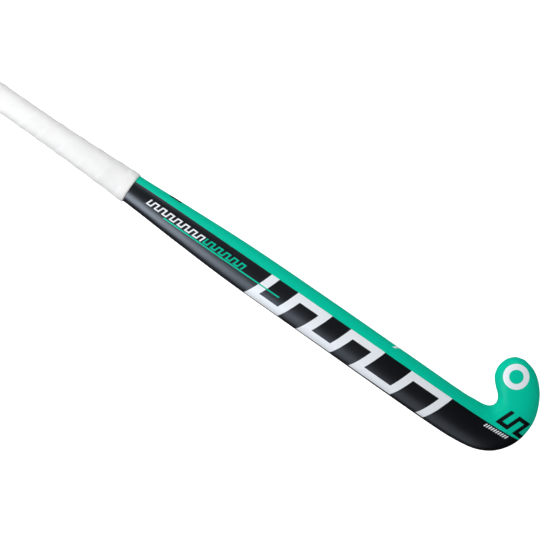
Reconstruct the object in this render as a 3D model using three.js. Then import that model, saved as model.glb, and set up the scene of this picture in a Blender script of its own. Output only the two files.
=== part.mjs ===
// Field hockey stick: a hollow composite shaft and hooked head, its foam cores, and a wound grip.
// Millimetres. +X runs from the butt to the head, +Y points to the toe, +Z to the rounded back.
// The flat playing side faces down, and the stick rests on its butt and on the tip of its head.
// Every piece is a sweep of one section, the D shape that turns into an oval at the handle.

import * as THREE from 'three';
import { ParametricGeometry } from 'three/addons/geometries/ParametricGeometry.js';
import { mergeVertices } from 'three/addons/utils/BufferGeometryUtils.js';

// ---- driving dimensions ----

const STICK_LENGTH = 926; // a 36.5 inch stick, along the floor
const GRIP_END = 413.8; // where the bare shaft begins
const CAP_LENGTH = 14; // skirt of the butt cap
const CAP_END_THICKNESS = 3;
const CAP_BEVEL = 1.5;
const PLUG_LENGTH = 40;

const WALL = 2.8; // laminate thickness
const GAP = 0.3; // clearance between touching pieces
const UNDERLAY = 0.5; // thickness of the foam underlay
const GRIP_TAPE = 0.8; // thickness of the wound tape
const FINISHING_TAPE = 0.4;
const FINISHING_LENGTH = 12;

const SHAFT_CORE_START = 432; // the handle is empty between the plug and this foam
const HEAD_CORE_START = 790;

const BOW_PEAK = 722; // where the playing face is highest above the floor, by about 24 mm
const HEAD_FACE_START = 837; // the head's face is one plane from here on
const HEAD_FACE_SLOPE = 0.165;
const BUTT_FACE_HEIGHT = 2.14; // laminate's lowest line above the floor at the butt
const HEAD_LIFT = -0.81; // brings the head's rounded edge down to the floor

// Sections along the stick, butt first. heel and toe are the two ends of the section in plan,
// thick its height, belly the height of its widest line, corner the radius along the playing side.
const STATIONS = [
  { heel: [0, -14.1], toe: [0, 11.7], thick: 27.5, belly: 13.8, corner: 11 },
  { heel: [150, -14.1], toe: [150, 11.7], thick: 27.5, belly: 13.8, corner: 11 },
  { heel: [300, -14.3], toe: [300, 11.9], thick: 27.5, belly: 13.6, corner: 11 },
  { heel: [413, -17], toe: [413, 16.1], thick: 26.6, belly: 12, corner: 11.5 },
  { heel: [480, -20.4], toe: [480, 19.7], thick: 25.2, belly: 9.6, corner: 9.2 },
  { heel: [560, -23.5], toe: [560, 23.3], thick: 23.8, belly: 7.4, corner: 7 },
  { heel: [660, -24], toe: [660, 24.6], thick: 23, belly: 6, corner: 5.6 },
  { heel: [770, -24.6], toe: [770, 25], thick: 23, belly: 5.6, corner: 5.2 },
  { heel: [837, -24.4], toe: [837, 25.2], thick: 23, belly: 5.4, corner: 5 },
  { heel: [863, -23.1], toe: [856, 26.5], thick: 22.8, belly: 5.4, corner: 5 },
  { heel: [887, -19.1], toe: [868.8, 27.9], thick: 22.6, belly: 5.4, corner: 5 },
  { heel: [905.7, -9.6], toe: [876.4, 31.6], thick: 22.4, belly: 5.4, corner: 5 },
  { heel: [919, 6.2], toe: [878.9, 38.2], thick: 22.2, belly: 5.4, corner: 5 },
  { heel: [925, 24], toe: [875.6, 45.1], thick: 22, belly: 5.4, corner: 5 },
  { heel: [925, 45], toe: [867.6, 52.1], thick: 21.6, belly: 5.4, corner: 5 },
  { heel: [917.4, 65], toe: [860.1, 60.9], thick: 21.2, belly: 5.4, corner: 5 },
  { heel: [906.3, 80], toe: [857.6, 72], thick: 20.8, belly: 5.4, corner: 5 },
  { heel: [893.1, 89.8], toe: [860.3, 83], thick: 20.8, belly: 5.4, corner: 5 },
  { heel: [878.8, 93.5], toe: [866.6, 90.2], thick: 20.8, belly: 5.4, corner: 5 },
];
const TOE_TIP = [872.8, 92.6];
const TOE_ROUND_START = 16; // from this station to the tip the section shrinks with its width
const CAVITY_END = 15.5; // station where the laminate's cavity stops inside the toe
const HEAD_CORE_END = 15.45;

const DOME_EXPONENT = 2.2; // 2 is an ellipse, more is fuller
const DOME_STEPS = 14;
const CORNER_STEPS = 4;
const FLAT_STEPS = 2;
const SIDES = DOME_STEPS + 2 * CORNER_STEPS + FLAT_STEPS;

// ---- the stick's section at any place along it ----

// The edge line runs from the butt along the heel side, round the toe, and back to the butt.
const EDGE_LINE = [
  ...STATIONS.map((station) => station.heel),
  TOE_TIP,
  ...STATIONS.map((station) => station.toe).reverse(),
];
const TIP = STATIONS.length;

// Smooth curve through evenly numbered values, read at a fractional number.
function through(values, place) {
  const last = values.length - 1;
  const i = Math.min(Math.max(Math.floor(place), 0), last - 1);
  const t = place - i;
  const before = values[Math.max(i - 1, 0)];
  const after = values[Math.min(i + 2, last)];
  const startSlope = (values[i + 1] - before) / 2;
  const endSlope = (after - values[i]) / 2;
  const rise = values[i + 1] - values[i];
  const cubic = startSlope + endSlope - 2 * rise;
  const square = 3 * rise - 2 * startSlope - endSlope;
  return values[i] + t * (startSlope + t * (square + t * cubic));
}

const EDGE_X = EDGE_LINE.map((point) => point[0]);
const EDGE_Y = EDGE_LINE.map((point) => point[1]);

function edgePoint(place) {
  return new THREE.Vector2(through(EDGE_X, place), through(EDGE_Y, place));
}

function sectionWidth(place) {
  return edgePoint(place).distanceTo(edgePoint(2 * TIP - place));
}

const TOE_WIDTH = sectionWidth(TOE_ROUND_START);

function property(name, place) {
  return through(STATIONS.map((station) => station[name]), Math.min(place, TIP - 1));
}

// Height of the laminate's playing side above the floor.
function bowHeight(x) {
  const fromEnd = STICK_LENGTH - x;
  const plane = HEAD_FACE_SLOPE * fromEnd + HEAD_LIFT;
  if (x >= HEAD_FACE_START) return plane;
  if (x > BOW_PEAK) {
    const back = HEAD_FACE_START - x;
    const bend = (HEAD_FACE_SLOPE * back * back) / (2 * (HEAD_FACE_START - BOW_PEAK));
    return plane - bend;
  }
  const peak = bowHeight(BOW_PEAK + 1e-6);
  const rise = Math.sin((Math.PI / 2) * (x / BOW_PEAK));
  return BUTT_FACE_HEIGHT + (peak - BUTT_FACE_HEIGHT) * rise;
}

// Point of the section's outline in its own plane: across from the middle, and up from the playing side.
// turn runs from 0 to 1 round the outline: over the back, round one corner, across the flat, round the other.
function outlinePoint(turn, halfWidth, thick, belly, corner) {
  const step = turn * SIDES;
  const flat = halfWidth - corner;
  if (step <= DOME_STEPS) {
    const angle = (Math.PI * step) / DOME_STEPS;
    const side = Math.sign(Math.cos(angle));
    const across = side * Math.abs(Math.cos(angle)) ** (2 / DOME_EXPONENT);
    const up = Math.max(Math.sin(angle), 0) ** (2 / DOME_EXPONENT);
    return [halfWidth * across, belly + (thick - belly) * up];
  }
  if (step <= DOME_STEPS + CORNER_STEPS) {
    const angle = ((Math.PI / 2) * (step - DOME_STEPS)) / CORNER_STEPS;
    return [-flat - corner * Math.cos(angle), belly * (1 - Math.sin(angle))];
  }
  if (step <= DOME_STEPS + CORNER_STEPS + FLAT_STEPS) {
    const share = (step - DOME_STEPS - CORNER_STEPS) / FLAT_STEPS;
    return [flat * (2 * share - 1), 0];
  }
  const angle = ((Math.PI / 2) * (SIDES - step)) / CORNER_STEPS;
  return [flat + corner * Math.cos(angle), belly * (1 - Math.sin(angle))];
}

// Point of the stick's surface moved out by offset (in, if negative), at a place counted in stations.
// shrink scales the section about its widest line's middle, and is 0 where a sweep closes on one point.
function stickPoint(place, offset, turn, shrink, target) {
  const heel = edgePoint(place);
  const toe = edgePoint(2 * TIP - place);
  const across = toe.clone().sub(heel);
  const width = across.length();
  const middle = heel.add(toe).multiplyScalar(0.5);
  const share = place > TOE_ROUND_START ? Math.min(width / TOE_WIDTH, 1) : 1;
  const round = share * (2 - share);
  const belly = property('belly', place);
  const halfWidth = width / 2 + offset;
  const [y, z] = outlinePoint(
    turn,
    halfWidth * shrink,
    (property('thick', place) + 2 * offset) * round * shrink,
    (belly + offset) * round * shrink,
    Math.min((property('corner', place) + offset) * round, halfWidth) * shrink,
  );
  const bellyDrop = (belly + offset) * (1 - round * shrink);
  if (width > 1e-9) middle.addScaledVector(across, y / width);
  target.set(middle.x, middle.y, bowHeight(middle.x) - offset + bellyDrop + z);
  return target;
}

// The station number at a distance along the straight shaft.
function placeAt(x) {
  let low = 0;
  let high = STATIONS.findIndex((station) => station.heel[0] > HEAD_FACE_START);
  for (let i = 0; i < 40; i++) {
    const middle = (low + high) / 2;
    const reached = (edgePoint(middle).x + edgePoint(2 * TIP - middle).x) / 2;
    if (reached < x) low = middle;
    else high = middle;
  }
  return low;
}

// ---- sweeps ----

// Places where every long sweep has a ring, so that nested pieces share their facets.
function ringPlaces(from, to) {
  const SHAFT_STEP = 0.5;
  const HEAD_STEP = 1 / 3;
  const HEAD_START = 8;
  const TIP_STEP = 1 / 8;
  const rings = [];
  let place = 0;
  while (place < TIP) {
    rings.push(place);
    place += place < HEAD_START ? SHAFT_STEP : place < TIP - 2 ? HEAD_STEP : TIP_STEP;
  }
  const inside = rings.filter((ring) => ring > from + 0.02 && ring < to - 0.02);
  return [from, ...inside, to];
}

// A run of rings along the stick at one offset.
function run(from, to, offset) {
  const rings = ringPlaces(Math.min(from, to), Math.max(from, to));
  if (to < from) rings.reverse();
  return rings.map((place) => ({ place, offset, shrink: 1 }));
}

// One ring, at a distance along the straight shaft.
function ring(x, offset) {
  return { place: placeAt(x), offset, shrink: 1 };
}

// A closing point in the middle of the section.
function closedAt(place, offset) {
  return { place, offset, shrink: 0 };
}

// Sweeps a profile, a list of rings, round the stick's section. A profile that runs from the butt to the head
// on the outside faces outwards. Its ends are closing points, or it ends on the ring that it began with.
function sweep(profile) {
  const steps = profile.length - 1;
  const surface = (turn, along, target) => {
    const ring = profile[Math.round(along * steps)];
    stickPoint(ring.place, ring.offset, turn % 1, ring.shrink, target);
  };
  const geometry = new ParametricGeometry(surface, SIDES, steps);
  geometry.deleteAttribute('normal');
  geometry.deleteAttribute('uv');
  const merged = withoutFlatFaces(mergeVertices(geometry, 1e-4)).toNonIndexed();
  merged.computeVertexNormals();
  return merged;
}

// At a closing point a face's corners meet, and such faces are dropped.
function withoutFlatFaces(geometry) {
  const corners = geometry.getIndex().array;
  const kept = [];
  for (let i = 0; i < corners.length; i += 3) {
    const [a, b, c] = corners.slice(i, i + 3);
    if (a !== b && b !== c && c !== a) kept.push(a, b, c);
  }
  geometry.setIndex(kept);
  return geometry;
}

// Turns a band's outline, points of [distance along the stick, offset], into a profile for sweep.
// Between points with the same offset the band follows the shaft's rings.
function band(points) {
  const closed = [...points, points[0]];
  const profile = [];
  closed.forEach(([x, offset], i) => {
    const place = placeAt(x);
    const last = closed[i - 1];
    if (last && last[1] === offset && Math.abs(last[0] - x) > 30) {
      profile.push(...run(placeAt(last[0]), place, offset).slice(1, -1));
    }
    profile.push(ring(x, offset));
  });
  return profile;
}

// ---- the pieces ----

// The moulded laminate: outside from the butt to the toe's tip, inside a cavity that is open at the butt.
function laminateShell() {
  const butt = placeAt(CAP_END_THICKNESS);
  return sweep([
    closedAt(CAVITY_END, -WALL),
    ...run(CAVITY_END, butt, -WALL),
    ...run(butt, TIP - 0.04, 0),
    closedAt(TIP, 0),
  ]);
}

// A foam or plastic filling of the cavity between two places.
function filling(from, to) {
  const offset = -WALL - GAP;
  return sweep([closedAt(from, offset), ...run(from, to, offset), closedAt(to, offset)]);
}

// A cap with a flat, bevelled end and a skirt outside the laminate.
function buttCap() {
  const outside = UNDERLAY + GRIP_TAPE + 3 * GAP;
  const inner = placeAt(CAP_END_THICKNESS - GAP);
  const half = CAP_BEVEL * 0.3;
  return sweep([
    closedAt(0, outside - CAP_BEVEL),
    ring(0, outside - CAP_BEVEL),
    ring(half, outside - half),
    ring(CAP_BEVEL, outside),
    ring(CAP_LENGTH, outside),
    ring(CAP_LENGTH, GAP),
    ring(CAP_END_THICKNESS - GAP, GAP),
    closedAt(inner, GAP),
  ]);
}

function cushionUnderlay() {
  const start = CAP_LENGTH + GAP;
  const end = GRIP_END - 10;
  const outside = GAP + UNDERLAY;
  return sweep(band([[start, GAP], [start, outside], [end, outside], [end, GAP]]));
}

// The wound tape as one sleeve, stepping down to the shaft past the end of the underlay.
function gripTape() {
  const start = CAP_LENGTH + GAP;
  const inside = 2 * GAP + UNDERLAY;
  const outside = inside + GRIP_TAPE;
  const step = GRIP_END - 9;
  return sweep(band([
    [start, inside],
    [start, outside],
    [step, outside],
    [GRIP_END - 5.5, GAP + GRIP_TAPE],
    [GRIP_END - 5.5, GAP],
    [step, inside],
  ]));
}

// The smooth tape over the grip's lower end, tapering on to the bare shaft.
function finishingTape() {
  const inside = 3 * GAP + UNDERLAY + GRIP_TAPE;
  const outside = inside + FINISHING_TAPE;
  const start = GRIP_END - FINISHING_LENGTH;
  return sweep(band([
    [start, inside],
    [start, outside],
    [GRIP_END - 2.2, outside - 0.25],
    [GRIP_END - 0.6, GAP + 3 * FINISHING_TAPE],
    [GRIP_END, GAP + FINISHING_TAPE],
    [GRIP_END, GAP],
    [GRIP_END - 5, GAP],
    [GRIP_END - 5, GAP + GRIP_TAPE + GAP],
    [GRIP_END - 8.6, inside],
  ]));
}

function finish(color, roughness) {
  return new THREE.MeshStandardMaterial({ color, roughness, metalness: 0 });
}

function piece(name, geometry, material) {
  const mesh = new THREE.Mesh(geometry, material);
  mesh.name = name;
  return mesh;
}

const plugStart = placeAt(CAP_END_THICKNESS + GAP);
const plugEnd = placeAt(CAP_END_THICKNESS + PLUG_LENGTH);
const shaftCoreEnd = placeAt(HEAD_CORE_START - GAP);
const stick = new THREE.Group();
stick.add(
  piece('laminate_shell', laminateShell(), finish(0x14181c, 0.3)),
  piece('head_core', filling(placeAt(HEAD_CORE_START), HEAD_CORE_END), finish(0xd8c48e, 0.9)),
  piece('shaft_core', filling(placeAt(SHAFT_CORE_START), shaftCoreEnd), finish(0xe6dcb4, 0.95)),
  piece('handle_plug', filling(plugStart, plugEnd), finish(0x2a2a2c, 0.6)),
  piece('butt_cap', buttCap(), finish(0xededed, 0.6)),
  piece('cushion_underlay', cushionUnderlay(), finish(0x3c3c3e, 0.95)),
  piece('grip_tape', gripTape(), finish(0xf4f4f4, 0.7)),
  piece('finishing_tape', finishingTape(), finish(0xf5f5f6, 0.4)),
);

// The origin is on the floor, in the middle of the stick's length and of its head's height.
const bounds = new THREE.Box3().setFromObject(stick);
const centre = bounds.getCenter(new THREE.Vector3());
stick.position.set(-centre.x, -centre.y, -bounds.min.z);

export default stick;
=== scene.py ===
import bisect
import math

import bmesh
import bpy
from bpy.props import FloatProperty, FloatVectorProperty, IntProperty, PointerProperty
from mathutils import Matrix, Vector


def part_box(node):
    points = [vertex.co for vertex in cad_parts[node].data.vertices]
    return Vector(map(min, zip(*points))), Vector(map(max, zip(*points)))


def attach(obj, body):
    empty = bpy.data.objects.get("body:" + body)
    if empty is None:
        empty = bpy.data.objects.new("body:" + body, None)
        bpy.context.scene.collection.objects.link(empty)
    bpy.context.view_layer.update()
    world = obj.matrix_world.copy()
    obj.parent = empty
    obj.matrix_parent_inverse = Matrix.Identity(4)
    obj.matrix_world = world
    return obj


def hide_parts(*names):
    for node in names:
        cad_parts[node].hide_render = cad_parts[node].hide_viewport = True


bl_info = {
    "name": "Field Hockey Stick",
    "version": (1, 0, 0),
    "blender": (4, 5, 0),
    "location": "3D View > Sidebar > Hockey Stick",
    "description": "Painted laminate, wound grip and studio of a field hockey stick",
    "category": "Add Mesh",
}

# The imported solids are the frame: metres, +X from the butt to the head, +Y to the toe, +Z to the
# rounded back. Sizes below are millimetres along the stick, across it and up, until
# place_in_frame() takes them there.
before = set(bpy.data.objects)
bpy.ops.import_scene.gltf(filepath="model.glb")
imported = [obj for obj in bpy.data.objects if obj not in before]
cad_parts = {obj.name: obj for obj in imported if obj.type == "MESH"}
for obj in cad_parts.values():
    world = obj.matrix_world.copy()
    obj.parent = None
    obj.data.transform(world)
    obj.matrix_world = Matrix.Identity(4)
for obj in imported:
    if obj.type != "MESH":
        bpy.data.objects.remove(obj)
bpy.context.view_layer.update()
CAP_LOW, CAP_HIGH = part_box("butt_cap")
MM = 0.001

# ---- the stick's sections, as in the solids ----

STICK_LENGTH = 926
GRIP_END = 413.8
CAP_LENGTH = 14
CAP_END_THICKNESS = 3
WALL = 2.8
GAP = 0.3
UNDERLAY = 0.5
GRIP_TAPE = 0.8
FINISHING_LENGTH = 12

# The wound tape ends under the finishing tape, which presses it down to an offset of its own.
WOUND_END = GRIP_END - 6
WOUND_END_TAPER = 3.5
WOUND_END_OFFSET = GAP + 0.9
GRIP_THINNED = 1.5

BOW_PEAK = 722
HEAD_FACE_START = 837
HEAD_FACE_SLOPE = 0.165
BUTT_FACE_HEIGHT = 2.14
HEAD_LIFT = -0.81

# Heel end and toe end of each section in plan, its height, belly height and corner radius.
STATIONS = [
    ((0, -14.1), (0, 11.7), 27.5, 13.8, 11),
    ((150, -14.1), (150, 11.7), 27.5, 13.8, 11),
    ((300, -14.3), (300, 11.9), 27.5, 13.6, 11),
    ((413, -17), (413, 16.1), 26.6, 12, 11.5),
    ((480, -20.4), (480, 19.7), 25.2, 9.6, 9.2),
    ((560, -23.5), (560, 23.3), 23.8, 7.4, 7),
    ((660, -24), (660, 24.6), 23, 6, 5.6),
    ((770, -24.6), (770, 25), 23, 5.6, 5.2),
    ((837, -24.4), (837, 25.2), 23, 5.4, 5),
    ((863, -23.1), (856, 26.5), 22.8, 5.4, 5),
    ((887, -19.1), (868.8, 27.9), 22.6, 5.4, 5),
    ((905.7, -9.6), (876.4, 31.6), 22.4, 5.4, 5),
    ((919, 6.2), (878.9, 38.2), 22.2, 5.4, 5),
    ((925, 24), (875.6, 45.1), 22, 5.4, 5),
    ((925, 45), (867.6, 52.1), 21.6, 5.4, 5),
    ((917.4, 65), (860.1, 60.9), 21.2, 5.4, 5),
    ((906.3, 80), (857.6, 72), 20.8, 5.4, 5),
    ((893.1, 89.8), (860.3, 83), 20.8, 5.4, 5),
    ((878.8, 93.5), (866.6, 90.2), 20.8, 5.4, 5),
]
TOE_TIP = (872.8, 92.6)

# Station numbers, where the hook starts, the toe starts to round off and the cavity ends.
HEAD_START = 8
TOE_ROUND_START = 16
CAVITY_END = 15.5

# The back is a superellipse, a little squarer than an ellipse.
DOME_EXPONENT = 2.2

# Shares of one turn round the section: over the back, round a corner, across the flat, and round
# the other corner. SIDES is the number of faces in the turn.
DOME_SHARE = 0.56
CORNER_SHARE = 0.12
FLAT_SHARE = 0.2
SIDES = 100

# The stick's own axes start at the cap's end, and the handle's middle lies a little to one side.
HANDLE_MIDDLE = (STATIONS[0][0][1] + STATIONS[0][1][1]) / 2
AXIS_START = Vector((CAP_LOW.x, (CAP_LOW.y + CAP_HIGH.y) / 2 - HANDLE_MIDDLE * MM, 0.0))

TIP = len(STATIONS)
EDGE = [s[0] for s in STATIONS] + [TOE_TIP] + [s[1] for s in reversed(STATIONS)]
EDGE_X = [point[0] for point in EDGE]
EDGE_Y = [point[1] for point in EDGE]
THICK = [s[2] for s in STATIONS]
BELLY = [s[3] for s in STATIONS]
CORNER = [s[4] for s in STATIONS]


def through(values, place):
    """Smooth curve through evenly numbered values, read at a fractional number."""
    last = len(values) - 1
    i = min(max(int(place), 0), last - 1)
    t = place - i
    start = (values[i + 1] - values[max(i - 1, 0)]) / 2
    end = (values[min(i + 2, last)] - values[i]) / 2
    rise = values[i + 1] - values[i]
    return values[i] + t * (start + t * (3 * rise - 2 * start - end + t * (start + end - 2 * rise)))


def edge_point(place):
    return Vector((through(EDGE_X, place), through(EDGE_Y, place)))


TOE_WIDTH = (edge_point(TOE_ROUND_START) - edge_point(2 * TIP - TOE_ROUND_START)).length


def bow_height(x):
    """Height of the laminate's playing side above the floor."""
    plane = HEAD_FACE_SLOPE * (STICK_LENGTH - x) + HEAD_LIFT
    if x >= HEAD_FACE_START:
        return plane
    if x > BOW_PEAK:
        back = HEAD_FACE_START - x
        return plane - HEAD_FACE_SLOPE * back * back / (2 * (HEAD_FACE_START - BOW_PEAK))
    peak = bow_height(BOW_PEAK + 1e-6)
    return BUTT_FACE_HEIGHT + (peak - BUTT_FACE_HEIGHT) * math.sin(math.pi / 2 * x / BOW_PEAK)


def power_of(value, exponent):
    return math.copysign(abs(value) ** exponent, value)


def outline_point(turn, half, thick, belly, corner):
    """Across from the section's middle and up from its playing side, at a share of one turn."""
    flat = half - corner
    if turn <= DOME_SHARE:
        angle = math.pi * turn / DOME_SHARE
        across = power_of(math.cos(angle), 2 / DOME_EXPONENT)
        up = max(math.sin(angle), 0.0) ** (2 / DOME_EXPONENT)
        return half * across, belly + (thick - belly) * up
    turn -= DOME_SHARE
    if turn <= CORNER_SHARE:
        angle = math.pi / 2 * turn / CORNER_SHARE
        return -flat - corner * math.cos(angle), belly * (1 - math.sin(angle))
    turn -= CORNER_SHARE
    if turn <= FLAT_SHARE:
        return flat * (2 * turn / FLAT_SHARE - 1), 0.0
    angle = math.pi / 2 * (1 - (turn - FLAT_SHARE) / CORNER_SHARE)
    return flat + corner * math.cos(angle), belly * (1 - math.sin(angle))


def section(place, offset, shrink=1.0):
    """The stick's section at one place, moved out by an offset, ready for surface_point()."""
    heel = edge_point(place)
    toe = edge_point(2 * TIP - place)
    across = toe - heel
    width = across.length
    share = min(width / TOE_WIDTH, 1.0) if place > TOE_ROUND_START else 1.0
    grown = share * (2 - share)
    belly = through(BELLY, min(place, TIP - 1)) + offset
    half = width / 2 + offset
    thick = through(THICK, min(place, TIP - 1)) + 2 * offset
    corner = min((through(CORNER, min(place, TIP - 1)) + offset) * grown, half)
    middle = (heel + toe) / 2
    base = bow_height(middle.x) - offset + belly * (1 - grown * shrink)
    outline = (half * shrink, thick * grown * shrink, belly * grown * shrink, corner * shrink)
    return middle, across / max(width, 1e-9), base, outline


def surface_point(cut, turn):
    middle, across, base, outline = cut
    side, up = outline_point(turn % 1.0, *outline)
    return middle.x + across.x * side, middle.y + across.y * side, base + up


def place_in_frame(x, y, z):
    return AXIS_START + Vector((x, y, z)) * MM


def along_stick(point):
    """Millimetres along the stick, across it and up, of a point in the frame."""
    return (point - AXIS_START) / MM


def middle_x(place):
    return (edge_point(place).x + edge_point(2 * TIP - place).x) / 2


PLACE_STEP = 0.01
SHAFT_PLACES = [i * PLACE_STEP for i in range(int(HEAD_START / PLACE_STEP) + 1)]
SHAFT_X = [middle_x(place) for place in SHAFT_PLACES]


def place_at(x):
    """The station number at a distance along the straight shaft."""
    i = min(max(bisect.bisect_right(SHAFT_X, x) - 1, 0), len(SHAFT_X) - 2)
    share = (x - SHAFT_X[i]) / (SHAFT_X[i + 1] - SHAFT_X[i])
    return SHAFT_PLACES[i] + share * PLACE_STEP


# ---- what a user may change ----


def linear(code):
    """sRGB hex colour as the linear values that shaders take."""
    values = [int(code[i : i + 2], 16) / 255 for i in (1, 3, 5)]
    return tuple(v / 12.92 if v <= 0.04045 else ((v + 0.055) / 1.055) ** 2.4 for v in values)


def length(name, about, millimetres):
    return FloatProperty(name=name, description=about, default=millimetres * MM, unit="LENGTH")


def colour(name, about, code):
    return FloatVectorProperty(
        name=name, description=about, default=linear(code), subtype="COLOR", size=3, min=0, max=1
    )


class StickSizes(bpy.types.PropertyGroup):
    grip_pitch: length("Grip pitch", "Distance between the seams of the wound grip", 25.5)
    grip_step: length("Grip step", "Height of the wound grip's seams", 0.45)
    print_start: length("Print start", "Butt end of the large key pattern, at the axis", 590.4)
    print_pitch: length("Print pitch", "Distance between the large pattern's first strokes", 34.85)
    print_wide_pitch: length("Print wide pitch", "Distance between its last three strokes", 45.7)
    print_stroke: length("Print stroke", "Width of the large pattern's strokes", 10.2)
    print_strokes: IntProperty(
        name="Print strokes", description="Number of strokes at the first pitch", default=5, min=2
    )
    ring_radius: length("Toe ring", "Outer radius of the ring printed on the toe", 14.3)


class StickColours(bpy.types.PropertyGroup):
    green: colour("Green", "Sprayed colour of the toe side and the hook", "#00C6A4")
    black: colour("Black", "Sprayed colour of the heel side", "#0D0F13")
    print: colour("Print", "Screen-printed pale grey", "#EBF0F6")
    grip: colour("Grip", "Wound polyurethane tape", "#EDEDED")
    tape: colour("Finishing tape", "Smooth vinyl tape", "#EEEEEE")
    cap: colour("Butt cap", "Moulded rubber cap", "#E6E6E5")


# ---- materials ----


def add(tree, kind, values=None, links=None, **settings):
    """Adds one node: its settings, its sockets' values and the outputs linked to its sockets."""
    made = tree.nodes.new(kind)
    for name, value in settings.items():
        setattr(made, name, value)
    for name, value in (values or {}).items():
        made.inputs[name].default_value = value
    for name, output in (links or {}).items():
        tree.links.new(output, made.inputs[name])
    return made


def fineness(size):
    """Scale of a pattern whose features are a size in millimetres."""
    return 1 / (size * MM)


def darker(base, share):
    """A colour at a share of its brightness, with its alpha."""
    return (*(share * value for value in base), 1)


def new_material(name, base, roughness, ior, more=None):
    """A dielectric material: its node tree, its shader and its Object coordinates."""
    material = bpy.data.materials.new(name)
    material.use_nodes = True
    tree = material.node_tree
    tree.nodes.clear()
    values = {"Base Color": (*base, 1), "Roughness": roughness, "IOR": ior, "Metallic": 0.0}
    shader = add(tree, "ShaderNodeBsdfPrincipled", {**values, **(more or {})})
    add(tree, "ShaderNodeOutputMaterial", links={"Surface": shader.outputs["BSDF"]})
    place = add(tree, "ShaderNodeTexCoord").outputs["Object"]
    material.diffuse_color = (*base, 1)
    return material, tree, shader, place


# Most of a noise pattern's values lie between these two.
NOISE = {"From Min": 0.3, "From Max": 0.7}


def mottle(tree, place, base, share, patch, detail=3.0):
    """An uneven tone: the values of patches a size in millimetres, and the colour they shade."""
    patch_scale = {"Scale": fineness(patch), "Detail": detail}
    patches = add(tree, "ShaderNodeTexNoise", patch_scale, {"Vector": place}).outputs["Fac"]
    amount = add(tree, "ShaderNodeMapRange", NOISE, {"Value": patches}).outputs["Result"]
    ends = {6: (*base, 1), 7: darker(base, share)}
    tone = add(tree, "ShaderNodeMix", ends, {0: amount}, data_type="RGBA")
    return patches, tone.outputs[2]


def lacquer(name, base, roughness, reflectance=0.5):
    """Two-pack polyurethane clear coat over sprayed or printed colour on sanded laminate.

    It gives the eye one even, deep colour with a soft satin highlight. The sprayed coat leaves an
    orange peel of about 2.5 mm, and polishing leaves hairlines along the shaft that change only
    how sharply it shines, so the colour's edges stay as clean as the masking.
    """
    material, tree, shader, place = new_material(
        name, base, roughness, 1.5, {"Specular IOR Level": reflectance}
    )
    peel_scale = {"Scale": fineness(2.5), "Detail": 1.0}
    peel = add(tree, "ShaderNodeTexNoise", peel_scale, {"Vector": place}).outputs["Fac"]
    rippled = add(tree, "ShaderNodeBump", {"Distance": 0.012 * MM}, {"Height": peel})
    tree.links.new(rippled.outputs["Normal"], shader.inputs["Normal"])
    # The hairlines are too fine to show, so they are drawn 0.4 mm wide and 12.5 mm long.
    hair_scale = {"Scale": (fineness(12.5), fineness(0.4), fineness(0.4))}
    lengthwise = add(tree, "ShaderNodeMapping", hair_scale, {"Vector": place}).outputs["Vector"]
    hairs = add(tree, "ShaderNodeTexNoise", {"Scale": 1.0}, {"Vector": lengthwise})
    hand_scale = {"Scale": fineness(55.6), "Detail": 3.0}
    handled = add(tree, "ShaderNodeTexNoise", hand_scale, {"Vector": place})
    noises = {0: hairs.outputs["Fac"], 1: handled.outputs["Fac"]}
    both = add(tree, "ShaderNodeMath", links=noises, operation="ADD").outputs[0]
    shine = {"From Min": 0.7, "From Max": 1.3}
    shine |= {"To Min": roughness - 0.03, "To Max": roughness + 0.05}
    finish = add(tree, "ShaderNodeMapRange", shine, {"Value": both})
    tree.links.new(finish.outputs["Result"], shader.inputs["Roughness"])
    return material


def bare_laminate():
    """Carbon and glass cloth in epoxy, straight from the mandrel: black, ribbed by its peel ply."""
    material, tree, shader, place = new_material(
        "Bare epoxy laminate", linear("#17181A"), 0.6, 1.55
    )
    # A diagonal wave of scale 1 repeats every 0.2 pi, and the ribs are 3.93 mm apart.
    rib_scale = {"Scale": 0.2 * math.pi * fineness(3.93), "Distortion": 1.5, "Detail": 2.0}
    ribs = add(
        tree, "ShaderNodeTexWave", rib_scale, {"Vector": place}, bands_direction="DIAGONAL"
    ).outputs["Fac"]
    ends = {6: (*linear("#121314"), 1), 7: (*linear("#232528"), 1)}
    tone = add(tree, "ShaderNodeMix", ends, {0: ribs}, data_type="RGBA")
    tree.links.new(tone.outputs[2], shader.inputs["Base Color"])
    ribbed = add(tree, "ShaderNodeBump", {"Distance": 0.08 * MM}, {"Height": ribs})
    tree.links.new(ribbed.outputs["Normal"], shader.inputs["Normal"])
    return material


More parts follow.
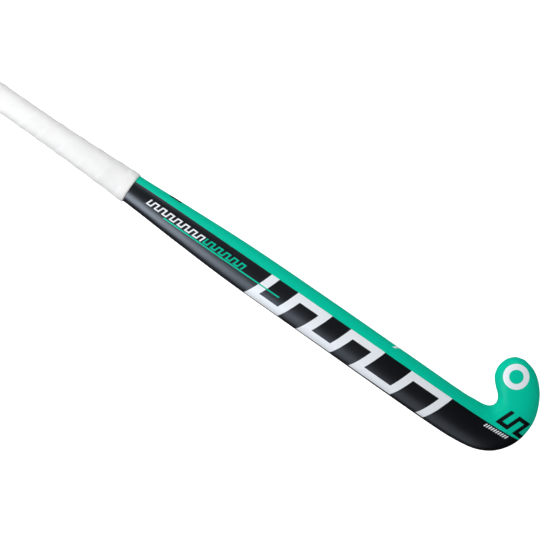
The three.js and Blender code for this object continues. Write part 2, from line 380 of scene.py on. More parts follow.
def chamois_tape(base):
    """Polyurethane film on non-woven felt, the usual chamois grip tape, buffed to a tacky matt.

    It gives the eye a warm, almost shadowless white with pinprick pits 0.9 mm apart, slow creases
    where the tape was pulled round, and a faint grey line of painted shade in each seam's crease.
    """
    finish = {"Specular IOR Level": 0.15, "Sheen Weight": 0.35}
    material, tree, shader, place = new_material(
        "Chamois polyurethane tape", base, 0.62, 1.5, finish
    )
    pit_scale = {"Scale": fineness(0.909), "Randomness": 0.75}
    pits = add(tree, "ShaderNodeTexVoronoi", pit_scale, {"Vector": place}, feature="F1")
    pit_edge = {"From Min": 0.05, "From Max": 0.35}
    dimple = add(tree, "ShaderNodeMapRange", pit_edge, {"Value": pits.outputs["Distance"]})
    # Creases run round the handle, 11 mm apart and three times as long.
    crease_scale = {"Scale": (fineness(11.1), fineness(33.3), fineness(33.3))}
    around = add(tree, "ShaderNodeMapping", crease_scale, {"Vector": place}).outputs["Vector"]
    crease_noise = {"Scale": 1.0, "Detail": 4.0, "Distortion": 0.6}
    crease = add(tree, "ShaderNodeTexNoise", crease_noise, {"Vector": around}).outputs["Fac"]
    creased = add(tree, "ShaderNodeBump", {"Distance": 0.7 * MM}, {"Height": crease})
    relief = {"Height": dimple.outputs["Result"], "Normal": creased.outputs["Normal"]}
    pitted = add(tree, "ShaderNodeBump", {"Distance": 0.07 * MM}, relief)
    tree.links.new(pitted.outputs["Normal"], shader.inputs["Normal"])
    _, handled = mottle(tree, place, base, 0.94, 18.2, 4.0)
    # Painted shade: the seam weight greys the colour in the crease at each seam's step, as shade
    # would.
    seam = add(tree, "ShaderNodeAttribute", attribute_name="seam").outputs["Fac"]
    grey = add(tree, "ShaderNodeMapRange", {"To Max": 0.6}, {"Value": seam}).outputs["Result"]
    line = {7: (*linear("#E6E5E4"), 1)}
    lined = add(tree, "ShaderNodeMix", line, {0: grey, 6: handled}, data_type="RGBA")
    tree.links.new(lined.outputs[2], shader.inputs["Base Color"])
    shine = {**NOISE, "To Min": 0.54, "To Max": 0.68}
    finish = add(tree, "ShaderNodeMapRange", shine, {"Value": crease})
    tree.links.new(finish.outputs["Result"], shader.inputs["Roughness"])
    return material


def vinyl_tape(base):
    """Calendered PVC finishing tape: a smooth, slightly glossy white with fine stretch lines."""
    material, tree, shader, place = new_material(
        "Calendered vinyl tape", base, 0.45, 1.54, {"Specular IOR Level": 0.08}
    )
    # Stretch lines run round the handle, 0.8 mm apart and 25 mm long.
    line_scale = {"Scale": (fineness(0.833), fineness(25), fineness(25))}
    around = add(tree, "ShaderNodeMapping", line_scale, {"Vector": place}).outputs["Vector"]
    line_noise = {"Scale": 1.0, "Detail": 2.0}
    lines = add(tree, "ShaderNodeTexNoise", line_noise, {"Vector": around}).outputs["Fac"]
    stretched = add(tree, "ShaderNodeBump", {"Distance": 0.04 * MM}, {"Height": lines})
    tree.links.new(stretched.outputs["Normal"], shader.inputs["Normal"])
    shine = {**NOISE, "To Min": 0.4, "To Max": 0.52}
    finish = add(tree, "ShaderNodeMapRange", shine, {"Value": lines})
    tree.links.new(finish.outputs["Result"], shader.inputs["Roughness"])
    _, tone = mottle(tree, place, base, 0.94, 11.1)
    tree.links.new(tone, shader.inputs["Base Color"])
    return material


def moulded(name, base, roughness, grain, depth):
    """A moulded rubber or plastic: spark-eroded grain of a given size, and slightly uneven tone."""
    material, tree, shader, place = new_material(name, base, roughness, 1.5)
    grain_scale = {"Scale": fineness(grain), "Detail": 2.0}
    sparks = add(tree, "ShaderNodeTexNoise", grain_scale, {"Vector": place}).outputs["Fac"]
    grained = add(tree, "ShaderNodeBump", {"Distance": depth * MM}, {"Height": sparks})
    tree.links.new(grained.outputs["Normal"], shader.inputs["Normal"])
    patches, tone = mottle(tree, place, base, 0.9, 22.2)
    tree.links.new(tone, shader.inputs["Base Color"])
    shine = {**NOISE, "To Min": roughness - 0.05, "To Max": roughness + 0.07}
    finish = add(tree, "ShaderNodeMapRange", shine, {"Value": patches})
    tree.links.new(finish.outputs["Result"], shader.inputs["Roughness"])
    return material


def cellular_foam(name, base, cell):
    """Expanded polyurethane foam: matt, full of open cells of a given size, darker in each cell."""
    material, tree, shader, place = new_material(name, base, 0.95, 1.45)
    cell_scale = {"Scale": fineness(cell)}
    cells = add(tree, "ShaderNodeTexVoronoi", cell_scale, {"Vector": place}, feature="F1")
    from_middle = cells.outputs["Distance"]
    open_cells = add(tree, "ShaderNodeBump", {"Distance": cell / 2 * MM}, {"Height": from_middle})
    tree.links.new(open_cells.outputs["Normal"], shader.inputs["Normal"])
    shadow = {"From Min": 0.1, "From Max": 0.6, "To Min": 1.0, "To Max": 0.0}
    deep = add(tree, "ShaderNodeMapRange", shadow, {"Value": from_middle}).outputs["Result"]
    ends = {6: (*base, 1), 7: darker(base, 0.6)}
    tone = add(tree, "ShaderNodeMix", ends, {0: deep}, data_type="RGBA")
    tree.links.new(tone.outputs[2], shader.inputs["Base Color"])
    return material


# ---- meshes ----

# The laminate's material numbers.
BLACK, GREEN, PRINT, BARE = range(4)

# Metres: corners closer than WELD are one corner, and a cut keeps to a corner within CUT_REACH.
WELD = 2e-6
CUT_REACH = 1e-7


def sweep(bm, rings, sides, paint=None):
    """Wraps a grid round the stick, with a row for each ring and a column for each side.

    A ring is (place, offset) or (place, offset, shrink), and shrink 0 closes the sweep on a point.
    paint gives the material number of each row of faces.
    """
    rows = len(rings) - 1
    made = bmesh.ops.create_grid(bm, x_segments=sides, y_segments=rows, size=0.5)["verts"]
    faces = dict.fromkeys(face for vert in made for face in vert.link_faces)
    for face in faces:
        row = int((face.calc_center_median().y + 0.5) * rows)
        face.material_index = paint[row] if paint else 0
        face.smooth = True
    cuts = [section(*ring) for ring in rings]
    for vert in made:
        turn = round((vert.co.x + 0.5) * sides) / sides
        row = round((vert.co.y + 0.5) * rows)
        vert.co = place_in_frame(*surface_point(cuts[row], turn))
    return made


def close_up(bm, name, reach=WELD):
    """Joins a mesh's seams and poles, turns its faces out and checks that it is closed."""
    bmesh.ops.remove_doubles(bm, verts=bm.verts, dist=reach)
    bmesh.ops.dissolve_degenerate(bm, edges=bm.edges, dist=reach / 2)
    bmesh.ops.recalc_face_normals(bm, faces=bm.faces)
    if any(not edge.is_manifold for edge in bm.edges):
        raise RuntimeError(f"{name} isn't a closed surface")


def sharpen(bm, angle):
    """Shades the edges that bend by more than an angle in degrees as corners."""
    for edge in bm.edges:
        if len(edge.link_faces) == 2 and edge.calc_face_angle(0.0) > math.radians(angle):
            edge.smooth = False


def object_from(bm, name, materials):
    """An object at the origin that takes over a mesh."""
    mesh = bpy.data.meshes.new(name)
    bm.to_mesh(mesh)
    bm.free()
    for material in materials:
        mesh.materials.append(material)
    made = bpy.data.objects.new(name, mesh)
    bpy.context.scene.collection.objects.link(made)
    return made


def finish_piece(bm, name, materials, node):
    """Makes the mesh an object that rides on the frame and stands for its solid."""
    piece = object_from(bm, name, materials)
    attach(piece, "root")
    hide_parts(node)


def steps(start, end, size):
    """Evenly spaced numbers from start to end, at most size apart."""
    count = max(1, math.ceil(abs(end - start) / size - 1e-9))
    return [start + (end - start) * i / count for i in range(count + 1)]


# ---- paint: every colour's edge is a cut in the mesh ----

# Faces that look down more than this are the flat playing side, which carries no print.
PLAYING_SIDE = -0.25

# Plan line between the black heel side and the green toe side.
COLOUR_LINE = [
    (0, 6.0), (413.6, 8.2), (437.4, 9.0), (477, 9.6), (556.3, 10.4), (635.5, 11.1), (764.3, 11.8),
    (832.6, 12.4), (861, 12.9), (879.5, 13.5), (895.6, 14.3), (909.6, 15.5), (931, 17.8),
]
COLOUR_X = [point[0] for point in COLOUR_LINE]


def colour_line(x):
    i = min(max(bisect.bisect_right(COLOUR_X, x) - 1, 0), len(COLOUR_LINE) - 2)
    (x0, y0), (x1, y1) = COLOUR_LINE[i], COLOUR_LINE[i + 1]
    return y0 + (y1 - y0) * (x - x0) / (x1 - x0)


def with_corners(faces):
    """Faces with their edges and corners, each once and always in the same order."""
    edges = dict.fromkeys(edge for face in faces for edge in face.edges)
    corners = dict.fromkeys(corner for face in faces for corner in face.verts)
    return [*faces, *edges, *corners]


def cut_across(bm, faces, point, normal):
    """Cuts a plane through some faces and returns them with the new ones."""
    cut = bmesh.ops.bisect_plane(
        bm,
        geom=with_corners(faces),
        plane_co=place_in_frame(*point),
        plane_no=Vector(normal),
        dist=CUT_REACH,
    )
    return [part for part in cut["geom"] if isinstance(part, bmesh.types.BMFace)]


def faces_in(bm, inside, back_only=True):
    """The painted faces whose middle is inside, on the rounded back only unless told otherwise."""
    found = []
    for face in bm.faces:
        if face.material_index == BARE or (back_only and face.normal.z < PLAYING_SIDE):
            continue
        if inside(*along_stick(face.calc_center_median())):
            found.append(face)
    return found


def print_on(bm, area, planes, pattern, ink):
    """Cuts the planes through an area and inks the faces whose middle is in the pattern."""
    faces = faces_in(bm, area)
    for point, normal in planes:
        faces = cut_across(bm, faces, point, normal)
    for face in faces:
        if face.normal.z > 0 and pattern(*along_stick(face.calc_center_median())):
            face.material_index = ink


def two_tone(bm):
    """Sprays the toe side green and the heel side black, parted by a masked line."""
    along, across = 6, 5
    for x, y in COLOUR_LINE[1:-1]:
        near = faces_in(
            bm, lambda u, v, w: abs(u - x) < along and abs(v - y) < across, back_only=False
        )
        cut_across(bm, near, (x, y, 0), (1, 0, 0))
    for (x0, y0), (x1, y1) in zip(COLOUR_LINE, COLOUR_LINE[1:]):
        near = faces_in(
            bm, lambda u, v, w: x0 <= u <= x1 and abs(v - colour_line(u)) < across,
            back_only=False,
        )
        cut_across(bm, near, (x0, y0, 0), (y0 - y1, x1 - x0, 0))
    for face in bm.faces:
        if face.material_index != BARE:
            u, v, _ = along_stick(face.calc_center_median())
            face.material_index = GREEN if v > colour_line(u) else BLACK


def key_pattern(bm, ink, starts, stroke, low, high, bar, lean, rake=0.0, level=0.0):
    """Prints slanted strokes joined by turns along their heel and toe ends, a plain key pattern.

    starts are the strokes' butt ends on the axis, and stroke is their width. The turns are bar
    wide and lie along low and high in plan, or along the colour line if high is None. lean slants
    the strokes in plan, and rake slants them as the back falls away below level.
    """
    along, across = 6, 4
    first, last = starts[0], starts[-1]
    if high is None:
        left, right = colour_line(first), colour_line(last)
    else:
        left = right = high
    slope = (right - left) / (last - first)

    def top_of(x):
        return left + slope * (x - first)

    def area(x, y, z):
        t = x - lean * y - rake * (z - level)
        near = first - along < t < last + stroke + along
        return near and low - across < y < top_of(x) + across

    def pattern(x, y, z):
        t = x - lean * y - rake * (z - level)
        top = top_of(x) if high is not None else colour_line(x)
        if not low < y < top:
            return False
        for i, start in enumerate(starts):
            if start < t < start + stroke:
                return True
            if i + 1 < len(starts) and start < t < starts[i + 1] + stroke:
                if i % 2 == 0 and y < low + bar:
                    return True
                if i % 2 == 1 and y > top_of(x) - bar:
                    return True
        return False

    planes = [((first, y, 0), (0, 1, 0)) for y in (low, low + bar)]
    planes.append(((first, left - bar, 0), (-slope, 1, 0)))
    if high is not None:
        planes.append(((first, high, 0), (0, 1, 0)))
    for start in starts:
        planes += [((t, 0, level), (1, -lean, -rake)) for t in (start, start + stroke)]
    print_on(bm, area, planes, pattern, ink)


def ring_mark(bm, ink, centre, outer, inner, sides=36):
    """Prints a plain ring, cut by spokes first, so that its short chords meet exactly."""
    room = 3
    chords = [radius * math.cos(math.pi / sides) for radius in (outer, inner)]

    def polar(x, y):
        return math.hypot(x - centre[0], y - centre[1]), math.atan2(y - centre[1], x - centre[0])

    def area(x, y, z):
        return inner - room < polar(x, y)[0] < outer + room

    faces = faces_in(bm, area)
    for i in range(sides // 2):
        angle = 2 * math.pi * i / sides
        faces = cut_across(bm, faces, (*centre, 0), (-math.sin(angle), math.cos(angle), 0))
    for i in range(sides):
        start = 2 * math.pi * i / sides
        middle = start + math.pi / sides
        normal = (math.cos(middle), math.sin(middle), 0)
        wedge = []
        for face in faces:
            x, y, _ = along_stick(face.calc_center_median())
            if (polar(x, y)[1] - start) % (2 * math.pi) < 2 * math.pi / sides:
                wedge.append(face)
        for chord in chords:
            point = (centre[0] + chord * normal[0], centre[1] + chord * normal[1], 0)
            wedge = cut_across(bm, wedge, point, normal)
        for face in wedge:
            x, y, _ = along_stick(face.calc_center_median())
            reach = (x - centre[0]) * normal[0] + (y - centre[1]) * normal[1]
            if chords[1] < reach < chords[0]:
                face.material_index = ink


def stroke_mark(bm, ink, planes):
    """Prints the patch inside some planes, each a point and a normal that points out of it."""
    around = 8

    def inside(x, y, z, room):
        return all(
            sum((a - b) * n for a, b, n in zip((x, y, z), point, normal)) < room
            for point, normal in planes
        )

    print_on(bm, lambda *p: inside(*p, around), planes, lambda *p: inside(*p, 0), ink)


# ---- the pieces ----

class STICK_OT_painted_laminate(bpy.types.Operator):
    """Build the hollow laminate and print its colours"""

    bl_idname = "stick.painted_laminate"
    bl_label = "Painted laminate"

    # How far apart the sections stand: station numbers, and millimetres on the seen shaft.
    CAVITY_STEP = 0.4
    GRIPPED_STEP = 0.12
    SHAFT_STEP = 4
    HOOK_STEP = 1 / 12
    TOE_START = TIP - 2
    TOE_STEP = 1 / 24
    POLE_GAP = 0.03

    # The large key runs up to the colour line. The small row is pale, then green, and the black
    # key stands on the green toe.
    LARGE_KEY = {"low": -22.9, "high": None, "bar": 8.2, "lean": 0.37, "rake": 0.22, "level": 45.5}
    SMALL_START, SMALL_PITCH, SMALL_PALE, SMALL_GREEN = 438.9, 5.05, 15, 11
    SMALL_SLANT = {"lean": 0.4, "rake": 0.1, "level": 44}
    PALE_KEY = {"stroke": 1.8, "low": -4.9, "high": 2.4, "bar": 1.5, **SMALL_SLANT}
    GREEN_KEY = {"stroke": 1.6, "low": -4.6, "high": 2.6, "bar": 1.4, **SMALL_SLANT}
    GREEN_SHIFT = -1.4
    TOE_START_X, TOE_PITCH, TOE_STROKES = 880.5, 11.2, 4
    TOE_KEY = {"stroke": 4.7, "low": 18.9, "high": 39, "bar": 4.7, "lean": 0.39}

    # Each side of a single stroke: a point on it and a normal that points out.
    PALE_STROKE = [
        ((747.0, 21.4, 0), (0, -1, 0)), ((747.0, 21.4, 0), (-1, 1.1, 0)),
        ((749.8, 21.4, 0), (1, -1.6, 0)), ((752, 27, 0), (0, 1, 0)),
    ]
    BLACK_STROKE = [
        ((453.2, 17, 0), (-1, 0.3, 0)), ((467.6, 17, 0), (1, -0.3, 0)),
        ((460, 17, 0), (0.03, -1, 0)), ((460, 27, 0), (0, 1, 0)),
    ]
    RING_CENTRE = (878.7, 72.5)
    RING_HOLE = 0.55

    # The cuts for the paint leave slivers, which a wider weld takes up.
    PAINTED_WELD = 3 * WELD

    def execute(self, context):
        sizes = context.scene.stick_sizes
        colours = context.scene.stick_colours
        bm = bmesh.new()
        inside, outside = self.rings()
        paint = [BARE] * len(inside) + [BLACK] * len(outside)
        sweep(bm, inside + outside, SIDES, paint)
        close_up(bm, "painted_laminate")
        two_tone(bm)
        narrow, wide = sizes.print_pitch / MM, sizes.print_wide_pitch / MM
        starts = [sizes.print_start / MM + i * narrow for i in range(sizes.print_strokes)]
        starts += [starts[-1] + wide, starts[-1] + 2 * wide]
        key_pattern(bm, PRINT, starts, sizes.print_stroke / MM, **self.LARGE_KEY)
        count = self.SMALL_PALE + self.SMALL_GREEN
        small = [self.SMALL_START + self.SMALL_PITCH * i for i in range(count)]
        key_pattern(bm, PRINT, small[: self.SMALL_PALE], **self.PALE_KEY)
        greens = [x + self.GREEN_SHIFT for x in small[self.SMALL_PALE :]]
        key_pattern(bm, GREEN, greens, **self.GREEN_KEY)
        toe = [self.TOE_START_X + self.TOE_PITCH * i for i in range(self.TOE_STROKES)]
        key_pattern(bm, BLACK, toe, **self.TOE_KEY)
        self.small_ticks(bm)
        self.pinstripe(bm)
        stroke_mark(bm, PRINT, self.PALE_STROKE)
        stroke_mark(bm, BLACK, self.BLACK_STROKE)
        ring = sizes.ring_radius / MM
        ring_mark(bm, PRINT, self.RING_CENTRE, ring, self.RING_HOLE * ring)
        close_up(bm, "painted_laminate", self.PAINTED_WELD)
        sharpen(bm, 55)
        materials = [
            lacquer("Black polyurethane lacquer", colours.black, 0.38),
            lacquer("Green polyurethane lacquer", colours.green, 0.38, 0.04),
            lacquer("Pale print under lacquer", colours.print, 0.4),
            bare_laminate(),
        ]
        finish_piece(bm, "painted_laminate", materials, "laminate_shell")
        return {"FINISHED"}

    def rings(self):
        """The cavity's rings from its blind end to the butt, then the outer ones to the toe."""
        butt = place_at(CAP_END_THICKNESS)
        seen = place_at(GRIP_END - FINISHING_LENGTH)
        seen_x = SHAFT_X[bisect.bisect(SHAFT_PLACES, seen)]
        inside = [(CAVITY_END, -WALL, 0.0)]
        inside += [
            (place, -WALL) for place in reversed(steps(butt, CAVITY_END, self.CAVITY_STEP))
        ]
        places = steps(butt, seen, self.GRIPPED_STEP)[:-1]
        places += [place_at(x) for x in steps(seen_x, HEAD_FACE_START, self.SHAFT_STEP)[:-1]]
        places += steps(HEAD_START, self.TOE_START, self.HOOK_STEP)
        places += steps(self.TOE_START, TIP - self.POLE_GAP, self.TOE_STEP)[1:]
        return inside, [(place, 0.0) for place in places] + [(TIP, 0.0, 0.0)]

    @staticmethod
    def small_ticks(bm):
        """A row of fine slanted ticks along the heel side of the colour line, on the head."""
        first, pitch, width, count = 880.4, 2.9, 1.5, 10
        low, high, lean, middle = -5.8, -1.8, 0.5, 10
        along_room, heel_room, toe_room = 4, 3, 1.5
        x0, x1 = first, first + pitch * count
        rise = colour_line(x1) - colour_line(x0)
        along = (-rise, x1 - x0, 0)

        def from_line(x, y):
            return y - (colour_line(x0) + rise * (x - x0) / (x1 - x0))

        def area(x, y, z):
            near = x0 - along_room < x < x1 + along_room
            return near and low - heel_room < from_line(x, y) < high + toe_room

        def pattern(x, y, z):
            t = x - lean * (y - middle)
            return (
                low < from_line(x, y) < high
                and 0 < (t - first) % pitch < width
                and first < t < x1
            )

        planes = [((x0, colour_line(x0) + drop, 0), along) for drop in (low, high)]
        for i in range(count):
            x = first + i * pitch
            planes += [((t, middle, 0), (1, -lean, 0)) for t in (x, x + width)]
        print_on(bm, area, planes, pattern, PRINT)

    @staticmethod
    def pinstripe(bm):
        """A thin green line under the row of small strokes, running on over the large pattern."""
        start, end, half, lean = (462.2, -6.83), (614.7, -5.64), 0.75, 0.4
        along_room, room = 5, 3
        slope = (end[1] - start[1]) / (end[0] - start[0])

        def above(x, y):
            return y - start[1] - slope * (x - start[0])

        def area(x, y, z):
            return start[0] - along_room < x < end[0] + along_room and abs(above(x, y)) < room

        def pattern(x, y, z):
            past_start = start[0] < x - lean * (y - start[1])
            short_of_end = x - lean * (y - end[1]) < end[0]
            return abs(above(x, y)) < half and past_start and short_of_end

        planes = [((start[0], start[1] + side, 0), (-slope, 1, 0)) for side in (-half, half)]
        planes += [((x, y, 0), (1, -lean, 0)) for x, y in (start, end)]
        print_on(bm, area, planes, pattern, GREEN)


class STICK_OT_wound_grip(bpy.types.Operator):
    """Wind the chamois tape round the handle"""

    bl_idname = "stick.wound_grip"
    bl_label = "Wound grip"

    # Share of the tape's pitch, and share of the seam's step, from one edge to the next.
    PROFILE = [
        (0.0, 0.0), (0.01, 0.14), (0.03, 0.46), (0.06, 0.8), (0.1, 0.97), (0.15, 1.0),
        (0.2, 0.88), (0.26, 0.58), (0.33, 0.28), (0.41, 0.1), (0.52, 0.03), (0.66, 0.0),
        (0.82, 0.01), (0.93, 0.03), (1.0, 0.0),
    ]

    # Samples in a wind, the tape's thickness between seams, and how far it overruns its end.
    SAMPLES = 72
    THINNEST = 0.55
    OVERRUN = 3
    BASE = 2 * GAP + UNDERLAY + THINNEST

    # The tape was pulled round by hand, so its seams wander: millimetres, and radians per wind.
    PULLS = [(0.9, 2.1, 0.0), (0.5, 5.3, 1.0)]

    # It is thinner where the finishing tape presses it down, and thinner again at its very end.
    PRESSED_FROM = GRIP_END - FINISHING_LENGTH - 3
    PRESSED_TAPER = 2.5

    # Shares of the pitch over which a seam's painted shade fades, on either side of the edge.
    SEAM_SHADE_FADE = (0.02, 0.03)

    # The lining stops this far short of the rims, so that an end's two rings don't share a plane.
    RIM_GAP = 0.2
    LINING_STEP = 8
    LINED_TO = GRIP_END - 9
    END_LINING = GAP + 0.1

    def pull(self, wound):
        return sum(size * math.sin(rate * wound + phase) for size, rate, phase in self.PULLS)

    def offset(self, x, height, step):
        """The tape's outer offset at a distance along the stick and a share of the seam's step."""
        pressed = min(max((x - self.PRESSED_FROM) / self.PRESSED_TAPER, 0.0), 1.0)
        at_end = min(max((x - WOUND_END) / WOUND_END_TAPER + 1, 0.0), 1.0)
        free = (self.BASE + step * height) * (1 - pressed) + GRIP_THINNED * pressed
        return free - (GRIP_THINNED - WOUND_END_OFFSET) * at_end

    def execute(self, context):
        sizes = context.scene.stick_sizes
        bm = bmesh.new()
        start, end = CAP_LENGTH + GAP, WOUND_END
        self.wind(bm, start, end, sizes.grip_pitch / MM, sizes.grip_step / MM)
        self.line(bm, start, end)
        close_up(bm, "wound_grip")
        sharpen(bm, 60)
        grip = chamois_tape(context.scene.stick_colours.grip)
        finish_piece(bm, "wound_grip", [grip], "grip_tape")
        return {"FINISHED"}

    def wind(self, bm, start, end, pitch, step):
        """Winds the outer surface as one grid, a row for each point of the tape's profile."""
        winds = math.ceil((end - start) / pitch) + 2
        columns, rows = winds * self.SAMPLES, len(self.PROFILE) - 1
        # Each corner's weight of painted shade for the seam's crease, which the tape's material
        # reads.
        seam = bm.verts.layers.float.new("seam")
        made = bmesh.ops.create_grid(bm, x_segments=columns, y_segments=rows, size=0.5)["verts"]
        for face in bm.faces:
            face.smooth = True
        for vert in made:
            column = round((vert.co.x + 0.5) * columns)
            share, height = self.PROFILE[round((vert.co.y + 0.5) * rows)]
            wound = column / self.SAMPLES
            x = end + self.OVERRUN - pitch * (wound - 1 - share)
            x += self.pull(wound) * (1 - share) + self.pull(wound - 1) * share
            # What runs past the butt is cut off below, so its place only has to stay on the stick.
            place = place_at(max(x, 0.5))
            point = surface_point(section(place, self.offset(x, height, step)), wound)
            vert.co = place_in_frame(x, point[1], point[2])
            # Weight of the painted shade: full at each seam's edge, fading over a share of the
            # pitch on either side.
            after, before = self.SEAM_SHADE_FADE
            vert[seam] = max(0.0, 1 - share / after) + max(0.0, 1 - (1 - share) / before)
        bmesh.ops.remove_doubles(bm, verts=bm.verts, dist=WELD)
        for x, normal in ((start, (-1, 0, 0)), (end, (1, 0, 0))):
            bmesh.ops.bisect_plane(
                bm,
                geom=[*bm.verts, *bm.edges, *bm.faces],
                plane_co=place_in_frame(x, 0, 0),
                plane_no=normal,
                clear_outer=True,
                dist=CUT_REACH,
            )

    def line(self, bm, start, end):
        """Lines the wound surface and bridges the two at either end."""
        rims = [edge for edge in bm.edges if edge.is_boundary]
        inside = 2 * GAP + UNDERLAY
        lined = steps(start + self.RIM_GAP, self.LINED_TO, self.LINING_STEP)
        lining = [(place_at(x), inside) for x in lined]
        lining += [(place_at(end - self.RIM_GAP), self.END_LINING)]
        made = sweep(bm, lining, self.SAMPLES)
        bmesh.ops.remove_doubles(bm, verts=made, dist=WELD)
        rims += [edge for edge in bm.edges if edge.is_boundary and edge not in set(rims)]
        reach = 1.5 * self.RIM_GAP
        for x in (start, end):
            near = [
                edge for edge in rims
                if all(abs(along_stick(vert.co).x - x) < reach for vert in edge.verts)
            ]
            bmesh.ops.bridge_loops(bm, edges=near)


class STICK_OT_finishing_tape(bpy.types.Operator):
    """Wrap the smooth tape that holds the grip's lower end"""

    bl_idname = "stick.finishing_tape"
    bl_label = "Finishing tape"

    CLEARANCE = 0.1
    THICKNESS = 0.3
    LEDGE = 1

    # Both edges are rounded, and the lower one draws in past the end of the wound tape: along from
    # the edge, and out from the tape's outside.
    UPPER_EDGE = [(0, -0.2), (0.12, -0.07), (0.35, 0), (2, 0.03)]
    LOWER_EDGE = [
        (-5.5, 0), (-3, -0.05), (-1.5, -0.15), (-0.8, -0.35), (-0.35, -0.65), (-0.1, -0.95),
        (0, -1.15),
    ]

    def execute(self, context):
        start = GRIP_END - FINISHING_LENGTH
        inside = GRIP_THINNED + self.CLEARANCE
        outside = inside + self.THICKNESS
        profile = [(start, inside)]
        profile += [(start + x, outside + rise) for x, rise in self.UPPER_EDGE]
        profile += [(GRIP_END + x, outside + rise) for x, rise in self.LOWER_EDGE]
        ledge = WOUND_END + self.LEDGE
        profile += [(GRIP_END, GAP), (ledge, GAP), (ledge, WOUND_END_OFFSET + self.CLEARANCE)]
        profile += [(WOUND_END - WOUND_END_TAPER, inside), (start, inside)]
        bm = bmesh.new()
        sweep(bm, [(place_at(x), offset) for x, offset in profile], SIDES)
        close_up(bm, "finishing_tape")
        sharpen(bm, 50)
        tape = vinyl_tape(context.scene.stick_colours.tape)
        finish_piece(bm, "smooth_tape", [tape], "finishing_tape")
        return {"FINISHED"}


class STICK_OT_butt_cap(bpy.types.Operator):
    """Mould the rubber cap on the butt"""

    bl_idname = "stick.butt_cap"
    bl_label = "Butt cap"

    # A shallow dish in the end, a rounded rim, a parting groove round the skirt and a bevelled
    # lip. The dish is in from the end and in from the skirt; the groove is along and a share deep.
    DISH = [(0.5, 5), (0.35, 4.2), (0.08, 3.5), (0.0, 3.1)]
    ROUND = 1.6
    GROOVE_AT = 11.2
    GROOVE_DEPTH = 0.35
    GROOVE = [(-0.5, 0), (-0.3, 0.75), (0, 1), (0.3, 0.75), (0.5, 0)]
    LIP = 0.3

    def execute(self, context):
        outside = UNDERLAY + GRIP_TAPE + 3 * GAP
        profile = [(depth, outside - inset) for depth, inset in self.DISH]
        for angle in steps(math.pi / 2, 0, math.pi / 16):
            x = self.ROUND * (1 - math.sin(angle))
            profile.append((x, outside - self.ROUND * (1 - math.cos(angle))))
        for shift, depth in self.GROOVE:
            profile.append((self.GROOVE_AT + shift, outside - self.GROOVE_DEPTH * depth))
        profile += [(CAP_LENGTH - self.LIP, outside), (CAP_LENGTH, outside - self.LIP)]
        profile += [(CAP_LENGTH, GAP), (CAP_END_THICKNESS - GAP, GAP)]
        rings = [(place_at(x), offset) for x, offset in profile]
        rings = [(*rings[0], 0.0), *rings, (*rings[-1], 0.0)]
        bm = bmesh.new()
        sweep(bm, rings, SIDES)
        close_up(bm, "butt_cap")
        sharpen(bm, 40)
        rubber = moulded("Moulded butyl rubber", context.scene.stick_colours.cap, 0.6, 0.5, 0.03)
        finish_piece(bm, "moulded_cap", [rubber], "butt_cap")
        return {"FINISHED"}


class STICK_OT_inner_parts(bpy.types.Operator):
    """Finish the foams and the plug that the laminate and the grip cover"""

    bl_idname = "stick.inner_parts"
    bl_label = "Inner parts"

    def execute(self, context):
        finishes = {
            "head_core": cellular_foam("Dense polyurethane foam", linear("#D8C48E"), 0.6),
            "shaft_core": cellular_foam("Light polyurethane foam", linear("#E6DCB4"), 1.2),
            "handle_plug": moulded("Moulded ABS", linear("#2A2A2C"), 0.55, 0.4, 0.03),
            "cushion_underlay": cellular_foam("EVA foam underlay", linear("#3C3C3E"), 0.4),
        }
        for node, material in finishes.items():
            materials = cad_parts[node].data.materials
            materials.clear()
            materials.append(material)
        return {"FINISHED"}


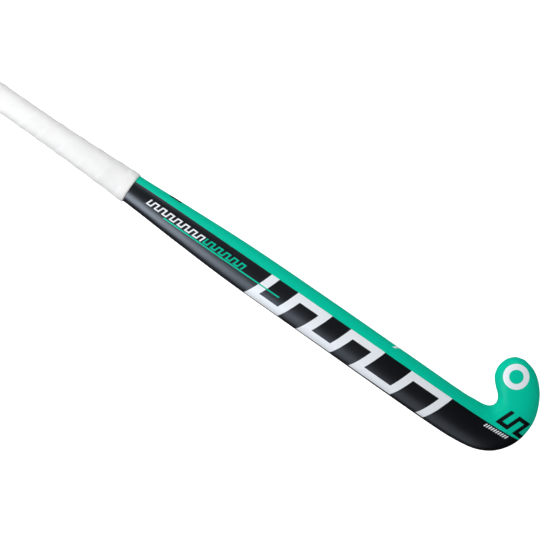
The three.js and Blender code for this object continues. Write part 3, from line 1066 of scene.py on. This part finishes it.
class STICK_OT_studio(bpy.types.Operator):
    """Set up the pale floor, the soft lights and the camera"""

    bl_idname = "stick.studio"
    bl_label = "Studio"

    # The camera looks straight down at a point on the shaft, from this many metres above it, and
    # sees this many metres of it.
    AIM = place_in_frame(604.0, 10.8, 34.0)
    CAMERA_HEIGHT = 1.9
    VIEW_WIDTH = 0.612
    TURN = math.radians(35)
    SENSOR_WIDTH = 36.0

    # Name, place, aim and size in metres, watts, and what the light is used for.
    SOFTBOXES = [
        ("Key softbox", (-0.95, -0.12, 1.05), (0.15, 0, 0.03), (1.8, 0.9), 18.0, "diffuse"),
        ("Shaft softbox", (-0.3, -0.82, 0.6), (-0.08, -0.02, 0.03), (0.6, 0.8), 17.0, "glossy"),
        ("Head softbox", (0.55, -1.0, 0.35), (0.4, 0.0, 0.03), (1.0, 1.2), 3.8, "glossy"),
        ("Toe softbox", (-0.3, 0.75, 0.6), (-0.08, 0.02, 0.03), (0.6, 0.6), 4.0, "glossy"),
    ]
    REFLECTION_TINT = (0.88, 1.0, 1.17)
    SURROUND_LIGHT = 0.54
    FLOOR_HALF_WIDTH = 4.0
    SURROUND_RADIUS = 10.0
    SURROUND_CUT = -1.0

    def execute(self, context):
        self.floor()
        self.surround()
        for settings in self.SOFTBOXES:
            self.softbox(*settings)
        self.surround_light(context.scene)
        context.scene.view_settings.view_transform = "Standard"
        self.camera(context)
        return {"FINISHED"}

    def surround_light(self, scene):
        """Even white light from all round, which no gloss mirrors and the camera doesn't see."""
        world = bpy.data.worlds.new("Pale studio")
        scene.world = world
        world.use_nodes = True
        background = world.node_tree.nodes["Background"]
        background.inputs["Color"].default_value = (1, 1, 1, 1)
        background.inputs["Strength"].default_value = self.SURROUND_LIGHT
        world.cycles_visibility.glossy = False
        world.cycles_visibility.camera = False

    @staticmethod
    def plain_material(name, code, glow):
        """Matt painted studio board: an even pale tone, lit so that no shadow darkens it."""
        material, _, shader, _ = new_material(name, linear(code), 0.9, 1.45)
        shader.inputs["Emission Color"].default_value = (1, 1, 1, 1)
        shader.inputs["Emission Strength"].default_value = glow
        return material

    def stage_object(self, name, bm, material):
        """Makes the mesh a part of the studio, which is seen but neither lights nor shades."""
        made = object_from(bm, name, [material])
        made.visible_glossy = False
        made.visible_diffuse = False
        made.visible_shadow = False

    def floor(self):
        bm = bmesh.new()
        bmesh.ops.create_grid(bm, x_segments=4, y_segments=4, size=self.FLOOR_HALF_WIDTH)
        self.stage_object("Floor", bm, self.plain_material("Pale matt board", "#F4F4F4", 0.9))

    def surround(self):
        bm = bmesh.new()
        bmesh.ops.create_uvsphere(bm, u_segments=48, v_segments=24, radius=self.SURROUND_RADIUS)
        bmesh.ops.bisect_plane(
            bm,
            geom=[*bm.verts, *bm.edges, *bm.faces],
            plane_co=(0, 0, self.SURROUND_CUT),
            plane_no=(0, 0, -1),
            clear_outer=True,
        )
        bmesh.ops.reverse_faces(bm, faces=bm.faces)
        self.stage_object("Surround", bm, self.plain_material("White surround", "#FFFFFF", 1.0))

    def softbox(self, name, place, aim, size, power, used_for):
        """An area light that only lights ("diffuse") or only shows as a reflection ("glossy")."""
        light = bpy.data.lights.new(name, "AREA")
        light.shape = "RECTANGLE"
        light.size, light.size_y = size
        light.energy = power
        if used_for == "glossy":
            light.color = self.REFLECTION_TINT
        made = bpy.data.objects.new(name, light)
        bpy.context.scene.collection.objects.link(made)
        made.visible_glossy = used_for == "glossy"
        made.visible_diffuse = used_for == "diffuse"
        made.location = place
        made.rotation_euler = (Vector(aim) - Vector(place)).to_track_quat("-Z", "Y").to_euler()

    def camera(self, context):
        lens = bpy.data.cameras.new("Camera")
        lens.sensor_width = self.SENSOR_WIDTH
        lens.lens = lens.sensor_width * self.CAMERA_HEIGHT / self.VIEW_WIDTH
        lens.clip_end = 30.0
        made = bpy.data.objects.new("Camera", lens)
        context.scene.collection.objects.link(made)
        made.location = self.AIM + Vector((0, 0, self.CAMERA_HEIGHT))
        made.rotation_euler = (0, 0, self.TURN)
        context.scene.camera = made


OPERATORS = [
    STICK_OT_painted_laminate,
    STICK_OT_wound_grip,
    STICK_OT_finishing_tape,
    STICK_OT_butt_cap,
    STICK_OT_inner_parts,
    STICK_OT_studio,
]


class STICK_PT_build(bpy.types.Panel):
    """Lists the stick's pieces, sizes and colours"""

    bl_idname = "STICK_PT_build"
    bl_label = "Field Hockey Stick"
    bl_space_type = "VIEW_3D"
    bl_region_type = "UI"
    bl_category = "Hockey Stick"

    def draw(self, context):
        for operator in OPERATORS:
            self.layout.operator(operator.bl_idname)
        for group in (context.scene.stick_sizes, context.scene.stick_colours):
            box = self.layout.box()
            for name in group.__annotations__:
                box.prop(group, name)


CLASSES = [StickSizes, StickColours, *OPERATORS, STICK_PT_build]


def register():
    for cls in CLASSES:
        bpy.utils.register_class(cls)
    bpy.types.Scene.stick_sizes = PointerProperty(type=StickSizes)
    bpy.types.Scene.stick_colours = PointerProperty(type=StickColours)


def unregister():
    del bpy.types.Scene.stick_colours
    del bpy.types.Scene.stick_sizes
    for cls in reversed(CLASSES):
        bpy.utils.unregister_class(cls)


def main():
    register()
    bpy.ops.stick.painted_laminate()
    bpy.ops.stick.wound_grip()
    bpy.ops.stick.finishing_tape()
    bpy.ops.stick.butt_cap()
    bpy.ops.stick.inner_parts()
    bpy.ops.stick.studio()


if __name__ == "__main__":
    main()
